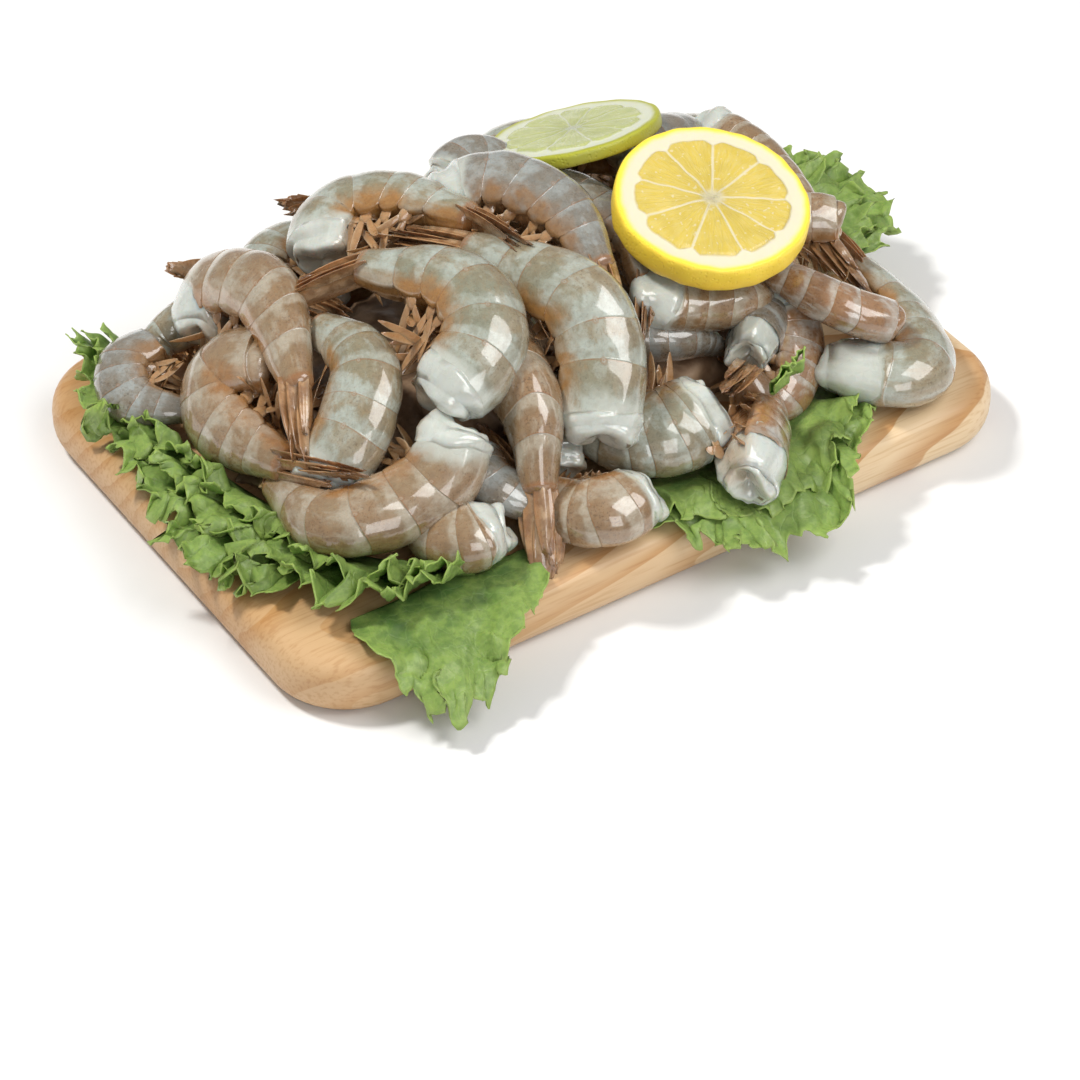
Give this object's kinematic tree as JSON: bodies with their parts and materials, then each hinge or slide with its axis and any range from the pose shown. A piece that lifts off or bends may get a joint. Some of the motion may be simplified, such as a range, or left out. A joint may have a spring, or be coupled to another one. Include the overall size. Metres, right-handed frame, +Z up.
{
  "type": "board of headless shrimp",
  "caption": "Wooden serving board heaped with raw headless shrimp in their shells, on lettuce leaves, garnished with a lemon slice and a lime slice.",
  "frame": {"origin": "centre of the board's flat underside", "axes": "+X along the board's length, to the right as seen from its front edge; +Y from the front edge to the back edge; +Z up"},
  "size_m": [0.2835, 0.2172, 0.0871],
  "materials": {
    "board_wood": "light maple, planed and oiled, satin",
    "heap_inside": "wet, dark shrimp shells deep in the heap",
    "lettuce": "fresh curly lettuce leaf, slightly shiny",
    "lemon": "cut lemon, juicy flesh with white pith and yellow rind",
    "lime": "cut lime, pale green flesh with white pith and green rind",
    "shell_green": "raw shrimp shell, grey-green, thin and wet",
    "shell_grey": "raw shrimp shell, blue-grey with fine dark specks, wet",
    "shell_tan": "raw shrimp shell, sand-coloured with paler bands, wet",
    "shell_brown": "raw shrimp shell, orange-brown bands, wet"
  },
  "bodies": {
    "root": {"board": "board_wood", "heap_inside": "heap_inside", "lettuce_left": "lettuce", "lettuce_front_frill": "lettuce", "lettuce_front": "lettuce", "lettuce_right": "lettuce", "lettuce_back_right": "lettuce", "lettuce_back": "lettuce", "lettuce_sprig": "lettuce", "lemon_slice": "lemon", "lime_slice": "lime", "shrimp_long_centre": "shell_green", "shrimp_right_of_centre": "shell_green", "shrimp_upper_left": "shell_green", "shrimp_dark_top": "shell_grey", "shrimp_left_arch": "shell_tan", "shrimp_left_inner": "shell_green", "shrimp_left_round": "shell_tan", "shrimp_front_round": "shell_tan", "shrimp_front_tail": "shell_tan", "shrimp_front_cut": "shell_tan", "shrimp_right_middle": "shell_green", "shrimp_right_upright": "shell_brown", "shrimp_front_banded": "shell_tan", "shrimp_under_lemon": "shell_tan", "shrimp_right_banded": "shell_brown", "shrimp_right_curl": "shell_green", "shrimp_behind_lemon": "shell_tan", "shrimp_under_banded": "shell_grey", "shrimp_in_shadow": "shell_brown", "shrimp_between_slices": "shell_grey", "shrimp_left_edge": "shell_grey", "shrimp_left_behind": "shell_green", "shrimp_behind_dark": "shell_grey", "shrimp_behind_lime": "shell_grey", "shrimp_low_right": "shell_grey", "shrimp_low_front": "shell_grey", "shrimp_low_middle": "shell_tan", "shrimp_back_high": "shell_tan", "shrimp_back_under_lime": "shell_green", "shrimp_back_left_high": "shell_green", "shrimp_back_left_low": "shell_brown", "shrimp_back_low_centre": "shell_tan", "shrimp_back_low_right": "shell_grey", "shrimp_back_right": "shell_tan", "shrimp_back_corner": "shell_green", "shrimp_back_right_inner": "shell_tan", "shrimp_right_inner": "shell_tan"}
  },
  "joints": []
}
